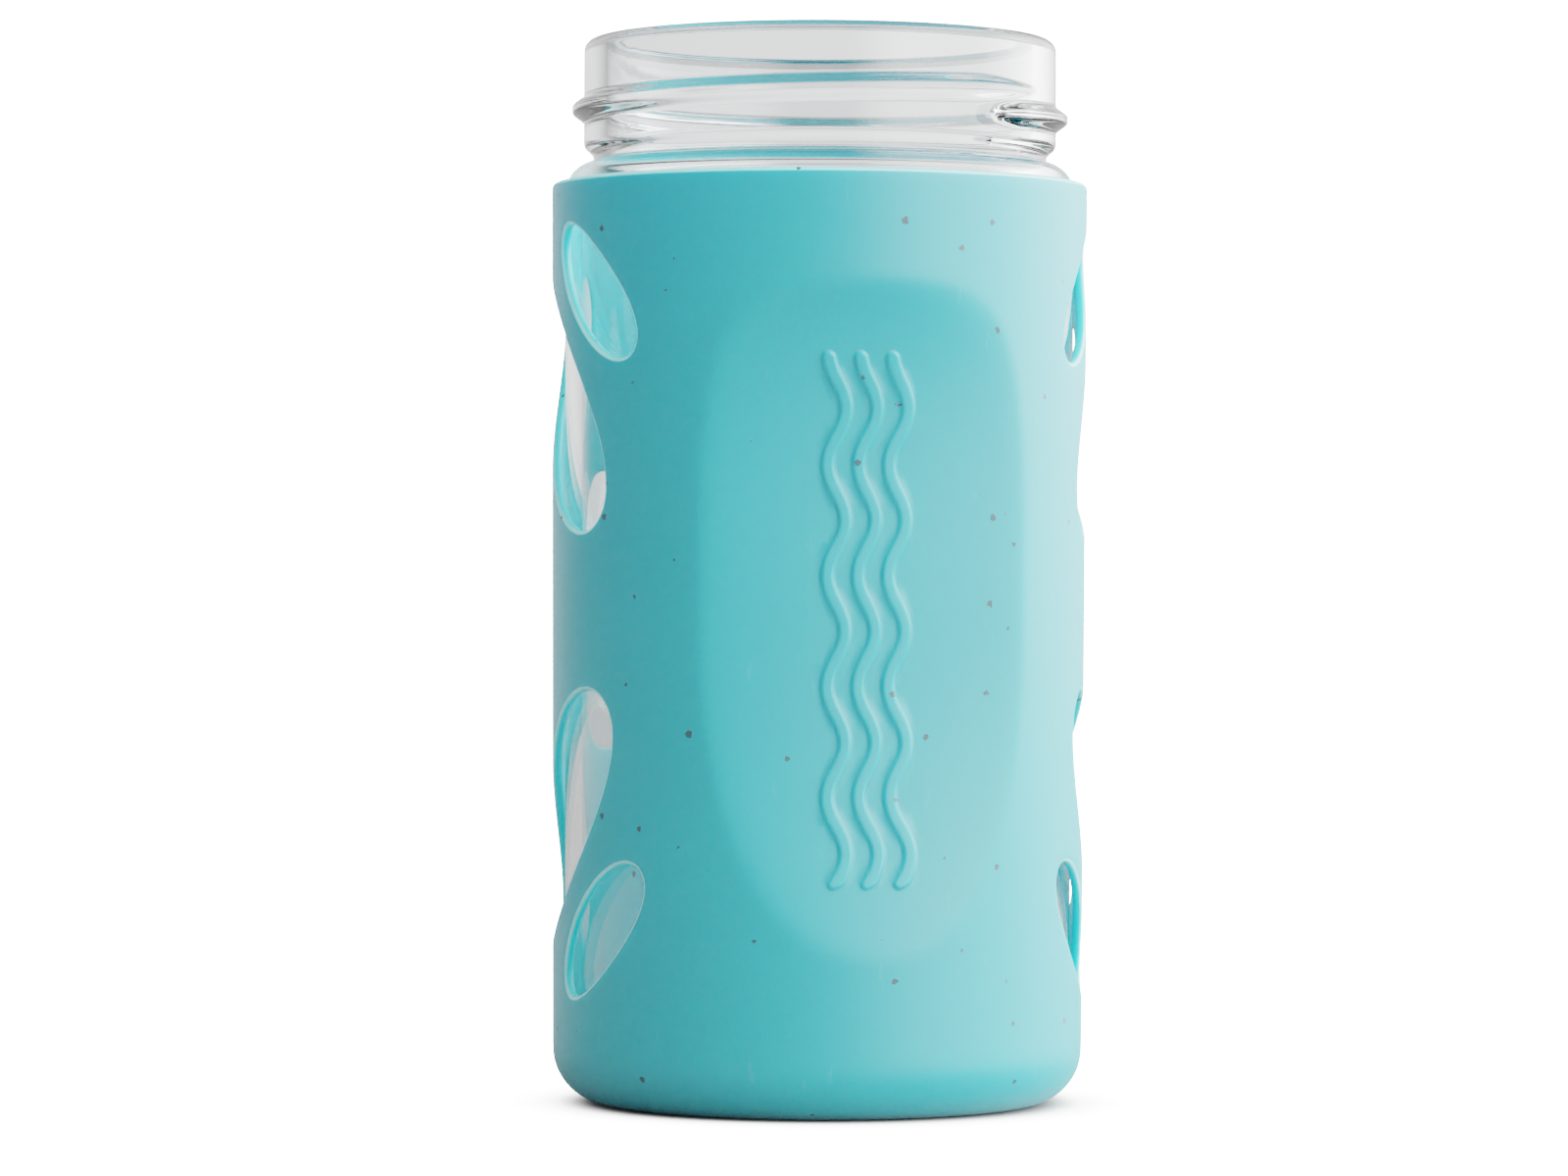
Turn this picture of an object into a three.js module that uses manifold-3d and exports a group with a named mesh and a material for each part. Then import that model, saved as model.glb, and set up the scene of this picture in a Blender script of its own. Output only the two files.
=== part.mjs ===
// A wide-neck glass bottle standing in a moulded silicone sleeve, without its cap.
// Millimetres, +Z up. The origin is the centre of the sleeve's foot, and the sleeve's
// front panel faces -Y. Angles go round +Z from the front, positive towards +X.
import * as THREE from 'three';
import { mergeVertices } from 'three/addons/utils/BufferGeometryUtils.js';
import Module from 'manifold-3d';

const wasm = await Module();
wasm.setup();

// ---- driving dimensions -------------------------------------------------------------
const SIDES = 60; // facets round every turned surface
const FIT_GAP = 0.3; // modelled clearance between the glass and the silicone

// Sleeve: a cup with a straight, slightly tapered bore that the bottle slides out of.
const SLEEVE_HEIGHT = 116.8;
const SLEEVE_TOP_RADIUS = 34.1;
const SLEEVE_LOW_RADIUS = 33.65;
const SLEEVE_LIP_RADIUS = 0.5;
const SLEEVE_EDGE_RADIUS = 6.9; // the rounded edge between wall and foot
const SLEEVE_FLOOR = 2.0;
const BORE_TOP_RADIUS = 32.7;
const BORE_LOW_RADIUS = 32.4;
const BORE_CORNER_RADIUS = 5.5;
const FOOT_RECESS_RADIUS = 18.5;
const FOOT_RECESS_DEPTH = 0.8;

// Front panel: an egg-shaped grip flat that both the glass and the sleeve are set back by.
const PANEL_CENTRE_HEIGHT = 61.4;
const PANEL_HALF_HEIGHT = 42;
const PANEL_HALF_ANGLE = 37.5; // degrees from the front to the widest part of its edge
const PANEL_DEPTH = 4.8; // at the middle, before the crease round it is softened
const PANEL_CREASE = 0.5; // how much the crease is softened
const PANEL_TOP_FULLNESS = 4; // 2 is an ellipse, and more is squarer
const PANEL_LOW_FULLNESS = 2.2;
const PANEL_RINGS = 12;
const DENTED_WALLS_FROM = 25; // walls inside this radius keep their shape
const GLASS_PANEL_SHARE = 1.06; // the glass is set back a little more, which keeps the facets apart

// Windows: leaves and ovals measured along the wall from the front and up from the foot.
// Fullness is the exponent of the outline: 2 is an ellipse, and more is squarer.
const WINDOW_MIDDLE_HEIGHT = 62.5; // the upper and lower rows mirror each other about this
const WALL_RADIUS = 33.85; // the radius that lengths along the wall refer to
const LOWER_ROW_SHIFT = 1.3; // the lower row sits this much nearer the front
const SIDE_LEAVES = [
  { along: 40.5, rise: 39.8, halfLength: 11.2, halfWidth: 4.6, slant: 43, fullness: 2.15 },
  { along: 53, rise: 26.3, halfLength: 20.4, halfWidth: 8.9, slant: 47, fullness: 2.15 },
];
const BACK_OVAL = { along: 76, rise: 0, halfLength: 14.5, halfWidth: 18, slant: 0, fullness: 2.7 };
const LEAF_POINTS = 28;
const CUTTER_INNER_RADIUS = 30;
const CUTTER_OUTER_RADIUS = 48;

// Glass: body, shoulder, groove, thread band and rim, from the foot up.
const GLASS_BASE = SLEEVE_FLOOR + FIT_GAP;
const GLASS_HEIGHT = 135.2; // the rim's height above the surface that the sleeve stands on
const HEEL_RADIUS = BORE_CORNER_RADIUS - FIT_GAP;
const GLASS_LOW_RADIUS = BORE_LOW_RADIUS - FIT_GAP;
const GLASS_TOP_RADIUS = BORE_TOP_RADIUS - FIT_GAP;
const PUSH_UP_DEPTH = 1.6;
const PUSH_UP_RADIUS = 23;
const SHOULDER_RADIUS = 3.8;
const SHOULDER_HEIGHT = 115.7; // where the body starts to round over
const GROOVE_RADIUS = 28.9;
const GROOVE_TOP = 120.8;
const NECK_RADIUS = 30.1;
const RIM_OUTER_ROUND = 1.6;
const RIM_INNER_ROUND = 0.4;
const NECK_BORE_RADIUS = 27.2;
const NECK_BORE_LOW = 120.2; // where the bore starts to open out into the body
const BODY_BORE_TOP = 112.5;
const BODY_BORE_RADIUS = 30.3;
const BODY_BORE_LOW_RADIUS = 30.0;
const INNER_HEEL_RADIUS = 6;
const GLASS_FLOOR = 6.8;
const GLASS_FLOOR_CROWN = 0.8;

// Thread: one rounded ridge of a little over one turn, steeper at its two ends.
const THREAD_START = 36.5; // degrees from the front
const THREAD_SWEEP = 377; // degrees
const THREAD_START_HEIGHT = 124.4;
const THREAD_RISE = 3.4;
const THREAD_EASE = 0.8;
const THREAD_STEPS = 72;
const THREAD_DEPTH = 1.5;
const THREAD_HALF_WIDTH = 1.55;
const THREAD_ROOT = 0.9; // how far the ridge is sunk into the wall before it is joined
const THREAD_FADE_IN = 2; // length of the blunt lower end
const THREAD_FADE_OUT = 14; // length of the upper end's run-out
const THREAD_BURIED = 0.3; // how far the faded ends lie under the wall's surface

// ---- helpers ------------------------------------------------------------------------

/** Points of an arc in the radius-height plane; 0 degrees points outwards, 90 up. */
function arc(centreRadius, centreHeight, radius, from, to, steps) {
  const points = [];
  for (let i = 0; i <= steps; i += 1) {
    const turn = THREE.MathUtils.degToRad(THREE.MathUtils.lerp(from, to, i / steps));
    points.push([centreRadius + radius * Math.cos(turn), centreHeight + radius * Math.sin(turn)]);
  }
  return points;
}

/** Turns an outline of [radius, height] points, axis to axis, into a closed body about +Z. */
function turned(outline) {
  const points = outline.map(([radius, height]) => new THREE.Vector2(Math.max(radius, 0), height));
  return new THREE.LatheGeometry(points, SIDES).rotateX(Math.PI / 2);
}

/** Moves every vertex of a geometry to where place(x, y, z) says. */
function reshaped(geometry, place) {
  const position = geometry.attributes.position;
  for (let i = 0; i < position.count; i += 1) {
    position.setXYZ(i, ...place(position.getX(i), position.getY(i), position.getZ(i)));
  }
  return geometry;
}

/** The point at an angle in degrees from the front, a height and a radius. */
function onWall(angle, height, radius) {
  const turn = THREE.MathUtils.degToRad(angle);
  return [radius * Math.sin(turn), -radius * Math.cos(turn), height];
}

/** Points up a wall at the panel's rings, on the straight line between its two radii. */
function wallRings(lowRadius, topRadius) {
  const points = [];
  for (let i = 0; i <= PANEL_RINGS; i += 1) {
    const height = PANEL_CENTRE_HEIGHT + PANEL_HALF_HEIGHT * ((2 * i) / PANEL_RINGS - 1);
    points.push([THREE.MathUtils.lerp(lowRadius, topRadius, height / SLEEVE_HEIGHT), height]);
  }
  return points;
}

/**
 * How far the front panel sets a wall back at an angle in radians and a height. Across the
 * panel the wall is an arc of larger radius between the two edges of the oval.
 */
function dentDepth(angle, height) {
  const share = (height - PANEL_CENTRE_HEIGHT) / PANEL_HALF_HEIGHT;
  const fullness = share > 0 ? PANEL_TOP_FULLNESS : PANEL_LOW_FULLNESS;
  const swell = 1 - Math.abs(share) ** fullness;
  if (swell < 1e-6) return 0;
  const edge = THREE.MathUtils.degToRad(PANEL_HALF_ANGLE) * swell ** (1 / fullness);
  const middle = WALL_RADIUS - PANEL_DEPTH * swell; // the wall's radius on the centre line
  const halfChord = WALL_RADIUS * Math.sin(edge);
  const sagitta = middle - WALL_RADIUS * Math.cos(edge);
  const flatRadius = (halfChord ** 2 + sagitta ** 2) / (2 * sagitta);
  const centre = middle - flatRadius;
  const reach = centre * Math.cos(angle)
    + Math.sqrt(Math.max(flatRadius ** 2 - (centre * Math.sin(angle)) ** 2, 0));
  const depth = Math.max(WALL_RADIUS - reach, 0);
  return depth ** 2 / (depth + PANEL_CREASE);
}

/** Sets the walls of a turned body back by the front panel, by a share of its full depth. */
function dented(geometry, depthShare) {
  return reshaped(geometry, (x, y, z) => {
    const radius = Math.hypot(x, y);
    const angle = Math.atan2(x, -y);
    if (radius < DENTED_WALLS_FROM || Math.abs(angle) > Math.PI / 2) return [x, y, z];
    const kept = 1 - (depthShare * dentDepth(angle, z)) / radius;
    return [x * kept, y * kept, z];
  });
}

/** A closed three.js geometry as a solid that can be joined and cut. */
function toSolid(geometry) {
  const bare = geometry.clone();
  bare.deleteAttribute('normal');
  bare.deleteAttribute('uv');
  const merged = mergeVertices(bare, 1e-4);
  const corners = merged.index.array;
  const triangles = [];
  for (let i = 0; i < corners.length; i += 3) {
    const [a, b, c] = corners.slice(i, i + 3);
    if (a !== b && b !== c && c !== a) triangles.push(a, b, c);
  }
  return new wasm.Manifold(new wasm.Mesh({
    numProp: 3,
    vertProperties: Float32Array.from(merged.attributes.position.array),
    triVerts: Uint32Array.from(triangles),
  }));
}

/** A solid back as a three.js geometry. */
function toGeometry(solid) {
  const { vertProperties, triVerts } = solid.getMesh();
  const geometry = new THREE.BufferGeometry();
  geometry.setAttribute('position', new THREE.BufferAttribute(vertProperties, 3));
  geometry.setIndex(new THREE.BufferAttribute(triVerts, 1));
  geometry.computeVertexNormals();
  return geometry;
}

// ---- glass bottle -------------------------------------------------------------------

/** The bottle's wall as one outline: under the base, up the outside, down the inside. */
function bottleOutline() {
  const shoulderCentre = GLASS_TOP_RADIUS - SHOULDER_RADIUS;
  const grooveLow = Math.acos((GROOVE_RADIUS - shoulderCentre) / SHOULDER_RADIUS);
  const boreOpening = new THREE.CubicBezierCurve(
    new THREE.Vector2(NECK_BORE_RADIUS, NECK_BORE_LOW),
    new THREE.Vector2(NECK_BORE_RADIUS, NECK_BORE_LOW - 3.6),
    new THREE.Vector2(BODY_BORE_RADIUS, BODY_BORE_TOP + 4.1),
    new THREE.Vector2(BODY_BORE_RADIUS, BODY_BORE_TOP),
  ).getPoints(5).map(({ x, y }) => [x, y]);
  return [
    [0, GLASS_BASE + PUSH_UP_DEPTH],
    [PUSH_UP_RADIUS * 0.6, GLASS_BASE + PUSH_UP_DEPTH * 0.7],
    [PUSH_UP_RADIUS, GLASS_BASE],
    ...arc(GLASS_LOW_RADIUS - HEEL_RADIUS, GLASS_BASE + HEEL_RADIUS, HEEL_RADIUS, -90, 0, 5),
    ...wallRings(GLASS_LOW_RADIUS, GLASS_TOP_RADIUS),
    ...arc(
      shoulderCentre, SHOULDER_HEIGHT, SHOULDER_RADIUS,
      0, THREE.MathUtils.radToDeg(grooveLow), 5,
    ),
    [GROOVE_RADIUS, GROOVE_TOP],
    [NECK_RADIUS - 0.5, GROOVE_TOP + 0.4],
    [NECK_RADIUS, GROOVE_TOP + 1.1],
    ...arc(
      NECK_RADIUS - RIM_OUTER_ROUND, GLASS_HEIGHT - RIM_OUTER_ROUND, RIM_OUTER_ROUND, 0, 90, 4,
    ),
    [NECK_BORE_RADIUS + RIM_INNER_ROUND, GLASS_HEIGHT],
    [NECK_BORE_RADIUS, GLASS_HEIGHT - RIM_INNER_ROUND],
    ...boreOpening,
    ...wallRings(BODY_BORE_LOW_RADIUS, BODY_BORE_RADIUS).reverse(),
    ...arc(
      BODY_BORE_LOW_RADIUS - INNER_HEEL_RADIUS, GLASS_FLOOR + INNER_HEEL_RADIUS,
      INNER_HEEL_RADIUS, 0, -90, 4,
    ),
    [0, GLASS_FLOOR + GLASS_FLOOR_CROWN],
  ];
}

/** How much of the ridge stands at a distance along it: 0 at both ends, 1 between. */
function threadFullness(distance, length) {
  const lower = Math.min(distance / THREAD_FADE_IN, 1);
  const upper = THREE.MathUtils.smoothstep(length - distance, 0, THREAD_FADE_OUT);
  return Math.sqrt(1 - (1 - lower) ** 2) * upper;
}

/** The screw thread's ridge, bent round the neck from a straight bar. */
function threadRidge() {
  const length = THREE.MathUtils.degToRad(THREAD_SWEEP) * NECK_RADIUS;
  const section = new THREE.Shape([[0, -1], [0.5, -0.8], [0.92, -0.35], [1, 0], [0.92, 0.35],
    [0.5, 0.8], [0, 1], [-THREAD_ROOT, 1], [-THREAD_ROOT, -1]]
    .map(([out, up]) => new THREE.Vector2(-out, up)));
  const bar = new THREE.ExtrudeGeometry(section, {
    depth: length, steps: THREAD_STEPS, bevelEnabled: false,
  }).rotateY(Math.PI / 2);
  return reshaped(bar, (x, y, z) => {
    const share = x / length;
    const full = threadFullness(x, length);
    const ease = (THREAD_EASE * Math.sin(2 * Math.PI * share)) / (2 * Math.PI);
    const height = THREAD_START_HEIGHT + THREAD_RISE * (share + ease);
    const out = z > 0 ? z * THREAD_DEPTH * full - THREAD_BURIED * (1 - full) : z - THREAD_BURIED;
    const halfWidth = THREAD_HALF_WIDTH * (0.4 + 0.6 * full);
    return onWall(THREAD_START + share * THREAD_SWEEP, height + y * halfWidth, NECK_RADIUS + out);
  });
}

// ---- silicone sleeve ----------------------------------------------------------------

/** The sleeve's cup as one outline: under the foot, up the outside, down the bore. */
function sleeveOutline() {
  return [
    [0, FOOT_RECESS_DEPTH],
    [FOOT_RECESS_RADIUS, FOOT_RECESS_DEPTH],
    [FOOT_RECESS_RADIUS + FOOT_RECESS_DEPTH, 0],
    ...arc(
      SLEEVE_LOW_RADIUS - SLEEVE_EDGE_RADIUS, SLEEVE_EDGE_RADIUS, SLEEVE_EDGE_RADIUS, -90, 0, 6,
    ),
    ...wallRings(SLEEVE_LOW_RADIUS, SLEEVE_TOP_RADIUS),
    ...arc(
      SLEEVE_TOP_RADIUS - SLEEVE_LIP_RADIUS, SLEEVE_HEIGHT - SLEEVE_LIP_RADIUS,
      SLEEVE_LIP_RADIUS, 0, 90, 2,
    ),
    [BORE_TOP_RADIUS, SLEEVE_HEIGHT],
    ...wallRings(BORE_LOW_RADIUS, BORE_TOP_RADIUS).reverse(),
    ...arc(
      BORE_LOW_RADIUS - BORE_CORNER_RADIUS, SLEEVE_FLOOR + BORE_CORNER_RADIUS,
      BORE_CORNER_RADIUS, 0, -90, 5,
    ),
    [0, SLEEVE_FLOOR],
  ];
}

/** A cutter through the wall in the shape of one window, on one side (1 or -1) and row. */
function windowCutter({ along, rise, halfLength, halfWidth, slant, fullness }, side, row) {
  const tilt = THREE.MathUtils.degToRad(slant);
  const centre = along - (row < 0 ? LOWER_ROW_SHIFT : 0);
  const rounded = (value) => Math.sign(value) * Math.abs(value) ** (2 / fullness);
  const outline = [];
  for (let i = 0; i < LEAF_POINTS; i += 1) {
    const turn = (2 * Math.PI * (i + 0.5)) / LEAF_POINTS;
    const x = halfLength * rounded(Math.cos(turn));
    const y = halfWidth * rounded(Math.sin(turn));
    outline.push(new THREE.Vector2(
      side * (centre + x * Math.cos(tilt) - y * Math.sin(tilt)),
      WINDOW_MIDDLE_HEIGHT + row * (rise + x * Math.sin(tilt) + y * Math.cos(tilt)),
    ));
  }
  const block = new THREE.ExtrudeGeometry(new THREE.Shape(outline), {
    depth: 1, steps: 1, bevelEnabled: false,
  });
  return reshaped(block, (x, y, z) => onWall(
    THREE.MathUtils.radToDeg(x / WALL_RADIUS), y,
    THREE.MathUtils.lerp(CUTTER_INNER_RADIUS, CUTTER_OUTER_RADIUS, z),
  ));
}

/** The sleeve with every window cut through its wall. */
function sleeveSolid() {
  let sleeve = toSolid(dented(turned(sleeveOutline()), 1));
  for (const side of [-1, 1]) {
    for (const row of [-1, 1]) {
      for (const leaf of SIDE_LEAVES) sleeve = sleeve.subtract(toSolid(windowCutter(leaf, side, row)));
    }
    sleeve = sleeve.subtract(toSolid(windowCutter(BACK_OVAL, side, 1)));
  }
  return sleeve;
}

// ---- assembly -----------------------------------------------------------------------

const clearGlass = new THREE.MeshStandardMaterial({
  color: 0xe4e6e8, roughness: 0.04, metalness: 0, transparent: true, opacity: 0.35,
});
const tealSilicone = new THREE.MeshStandardMaterial({ color: 0x4fb9bf, roughness: 0.62, metalness: 0 });

const bottle = new THREE.Mesh(
  toGeometry(toSolid(dented(turned(bottleOutline()), GLASS_PANEL_SHARE)).add(toSolid(threadRidge()))), clearGlass,
);
bottle.name = 'glass_bottle';

const sleeve = new THREE.Mesh(toGeometry(sleeveSolid()), tealSilicone);
sleeve.name = 'silicone_sleeve';

const assembly = new THREE.Group();
assembly.add(sleeve, bottle);

export default assembly;
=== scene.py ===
"""A clear glass drinking bottle standing in a moulded silicone sleeve.

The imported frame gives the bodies, the box and the place of both pieces. This script makes
their fine surfaces, dresses them and sets a plain studio round them. Sizes inside the
classes are millimetres, as on a drawing, and meshes turn to metres when they are made.
Angles go round the bottle's axis from the front, positive to the right of a person who
faces the front.
"""

import logging
import math
from dataclasses import dataclass, field
from enum import Enum

import bpy
import numpy as np
from mathutils import Matrix, Vector
from mathutils.geometry import delaunay_2d_cdt


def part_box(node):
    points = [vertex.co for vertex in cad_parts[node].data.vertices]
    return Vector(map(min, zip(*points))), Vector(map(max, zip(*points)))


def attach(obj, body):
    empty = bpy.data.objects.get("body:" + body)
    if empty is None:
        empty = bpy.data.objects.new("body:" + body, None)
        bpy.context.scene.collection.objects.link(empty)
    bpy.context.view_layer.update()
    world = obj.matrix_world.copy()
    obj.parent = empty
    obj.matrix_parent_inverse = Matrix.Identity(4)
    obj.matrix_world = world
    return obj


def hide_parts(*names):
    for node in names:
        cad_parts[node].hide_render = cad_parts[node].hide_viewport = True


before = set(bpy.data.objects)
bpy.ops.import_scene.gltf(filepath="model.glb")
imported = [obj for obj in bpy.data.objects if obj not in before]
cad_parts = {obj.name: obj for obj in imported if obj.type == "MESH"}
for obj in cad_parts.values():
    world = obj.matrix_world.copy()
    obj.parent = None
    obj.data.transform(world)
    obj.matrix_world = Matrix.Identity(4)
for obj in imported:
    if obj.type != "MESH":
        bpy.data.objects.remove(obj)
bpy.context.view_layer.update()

LOG = logging.getLogger("bottle")
MM = 0.001
MATH = "ShaderNodeMath"
RANGE = "ShaderNodeMapRange"


class Body(Enum):
    """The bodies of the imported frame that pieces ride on."""

    SLEEVE = "sleeve"
    BOTTLE = "bottle"


class Skin(Enum):
    """Which face of a wall a point of the sleeve is on, as its attribute says."""

    INNER = 0.0
    OUTER = 1.0


# ---- shared helpers -----------------------------------------------------------------


def linear(hex_colour: str) -> tuple[float, float, float, float]:
    """Turns an sRGB hex colour into linear red, green, blue and alpha.

    Args:
        hex_colour: Six hex digits, such as "1fb5bd".

    Returns:
        Four numbers from 0 to 1, the last of them 1.
    """
    shares = [int(hex_colour[i:i + 2], 16) / 255 for i in (0, 2, 4)]
    red, green, blue = (s / 12.92 if s <= 0.04045 else ((s + 0.055) / 1.055) ** 2.4 for s in shares)
    return red, green, blue, 1.0


def add_node(tree: bpy.types.NodeTree, kind: str, inputs: dict | None = None,
             **settings: object) -> bpy.types.Node:
    """Adds a node with its settings and its inputs.

    Args:
        tree: The tree that the node goes into.
        kind: The node's type, such as "ShaderNodeMath".
        inputs: Socket name or number to a value, or to an output socket to link.
        settings: Properties of the node, such as operation="ADD".

    Returns:
        The new node.
    """
    node = tree.nodes.new(kind)
    for name, value in settings.items():
        setattr(node, name, value)
    for key, value in (inputs or {}).items():
        if isinstance(value, bpy.types.NodeSocket):
            tree.links.new(value, node.inputs[key])
        else:
            node.inputs[key].default_value = value
    return node


def arc(centre: tuple[float, float], radius: float, start: float, stop: float,
        steps: int) -> np.ndarray:
    """Points of an arc in the radius-height plane.

    Args:
        centre: Radius and height of its centre.
        radius: The arc's own radius.
        start: Where it starts, in degrees: 0 points outwards and 90 up.
        stop: Where it stops, in degrees.
        steps: How many chords it has.

    Returns:
        An array of steps + 1 rows of radius and height.
    """
    turns = np.radians(np.linspace(start, stop, steps + 1))
    return np.column_stack((centre[0] + radius * np.cos(turns), centre[1] + radius * np.sin(turns)))


def run(start: tuple[float, float], stop: tuple[float, float], step: float) -> np.ndarray:
    """Points along a straight line, without its two ends, about a step apart.

    Args:
        start: Its first end.
        stop: Its last end.
        step: The distance to aim for.

    Returns:
        The points, as rows.
    """
    count = max(int(round(math.dist(start, stop) / step)), 1)
    shares = np.linspace(0, 1, count + 1)[1:-1, None]
    return np.array(start) * (1 - shares) + np.array(stop) * shares


def smoothstep(value: np.ndarray, low: float, high: float) -> np.ndarray:
    """Goes smoothly from 0 at low to 1 at high."""
    share = np.clip((value - low) / (high - low), 0, 1)
    return share * share * (3 - 2 * share)


def round_axis(radius: np.ndarray, angle: np.ndarray, height: np.ndarray) -> np.ndarray:
    """Points at a radius, an angle in radians from the front, and a height."""
    return np.column_stack((radius * np.sin(angle), -radius * np.cos(angle), height))


def lathe_rings(outline: np.ndarray, angles: np.ndarray) -> np.ndarray:
    """Turns an outline round the axis.

    Args:
        outline: Rows of radius and height, none of them on the axis.
        angles: The angle of each side, in radians.

    Returns:
        The points, ring after ring.
    """
    return round_axis(np.repeat(outline[:, 0], len(angles)), np.tile(angles, len(outline)),
                      np.repeat(outline[:, 1], len(angles)))


def ring_faces(rings: list[np.ndarray]) -> list[tuple[int, ...]]:
    """Quads between neighbouring closed rings of point numbers.

    Args:
        rings: Each ring's point numbers, anticlockwise from above. Outside walls go up.

    Returns:
        The faces, outwards.
    """
    faces = []
    for low, high in zip(rings, rings[1:]):
        faces += zip(low.tolist(), np.roll(low, -1).tolist(), np.roll(high, -1).tolist(), high.tolist())
    return faces


def cap_faces(ring: np.ndarray, pole: int, ends: bool) -> list[tuple[int, ...]]:
    """Triangles from a ring to a point on the axis: its last ring if it ends, or its first."""
    pairs = zip(ring.tolist(), np.roll(ring, -1).tolist())
    return [(a, b, pole) if ends else (pole, b, a) for a, b in pairs]


def make_piece(name: str, points: np.ndarray, faces: list[tuple[int, ...]]) -> bpy.types.Object:
    """Makes a smooth mesh object from points in millimetres.

    Args:
        name: The object's name.
        points: Rows of x, y and z, in millimetres.
        faces: Point numbers, anticlockwise from outside.

    Returns:
        The object, linked to the scene.
    """
    mesh = bpy.data.meshes.new(name)
    mesh.from_pydata((points * MM).tolist(), [], faces)
    mesh.validate()
    mesh.shade_smooth()
    piece = bpy.data.objects.new(name, mesh)
    bpy.context.scene.collection.objects.link(piece)
    return piece


# ---- finishes -----------------------------------------------------------------------


@dataclass(frozen=True)
class ClearGlass:
    """Soda-lime glass, blown in a mould and fire-polished.

    It shows as a clear wall with a faint grey body, painted shade for the dim room seen through it,
    slow waves that bend what is behind it, and a few smudges that only its gloss gives away.
    """

    name: str = "soda_lime_glass_fire_polished"
    # painted shade: the faint grey tint stands in for the dim room seen through the glass
    body: str = "eef0f1"
    ior: float = 1.52
    polish: float = 0.0
    smudge_roughness: float = 0.05
    wave_length: float = 16.0
    wave_depth: float = 0.02
    smudge_size: float = 14.0
    smudge_range: tuple[float, float] = (0.55, 0.8)

    def build(self) -> bpy.types.Material:
        """Makes the material.

        Returns:
            The material.
        """
        material = bpy.data.materials.new(self.name)
        material.use_nodes = True
        tree = material.node_tree
        tree.nodes.clear()
        place = add_node(tree, "ShaderNodeTexCoord").outputs["Object"]
        waves = add_node(tree, "ShaderNodeTexNoise", {
            "Vector": place, "Scale": 1 / (self.wave_length * MM), "Detail": 1.0})
        bump = add_node(tree, "ShaderNodeBump", {
            "Height": waves.outputs["Fac"], "Strength": 1.0, "Distance": self.wave_depth * MM})
        smudges = add_node(tree, "ShaderNodeTexNoise", {
            "Vector": place, "Scale": 1 / (self.smudge_size * MM), "Detail": 6.0, "Roughness": 0.7})
        roughness = add_node(tree, RANGE, {
            "Value": smudges.outputs["Fac"],
            "From Min": self.smudge_range[0], "From Max": self.smudge_range[1],
            "To Min": self.polish, "To Max": self.smudge_roughness})
        shader = add_node(tree, "ShaderNodeBsdfPrincipled", {
            "Base Color": linear(self.body), "Transmission Weight": 1.0, "IOR": self.ior,
            "Roughness": roughness.outputs["Result"], "Normal": bump.outputs["Normal"]})
        shadow = add_node(tree, "ShaderNodeLightPath").outputs["Is Shadow Ray"]
        open_way = add_node(tree, "ShaderNodeBsdfTransparent")
        lit = add_node(tree, "ShaderNodeMixShader", {
            0: shadow, 1: shader.outputs["BSDF"], 2: open_way.outputs["BSDF"]})
        add_node(tree, "ShaderNodeOutputMaterial", {"Surface": lit.outputs["Shader"]})
        return material


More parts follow.
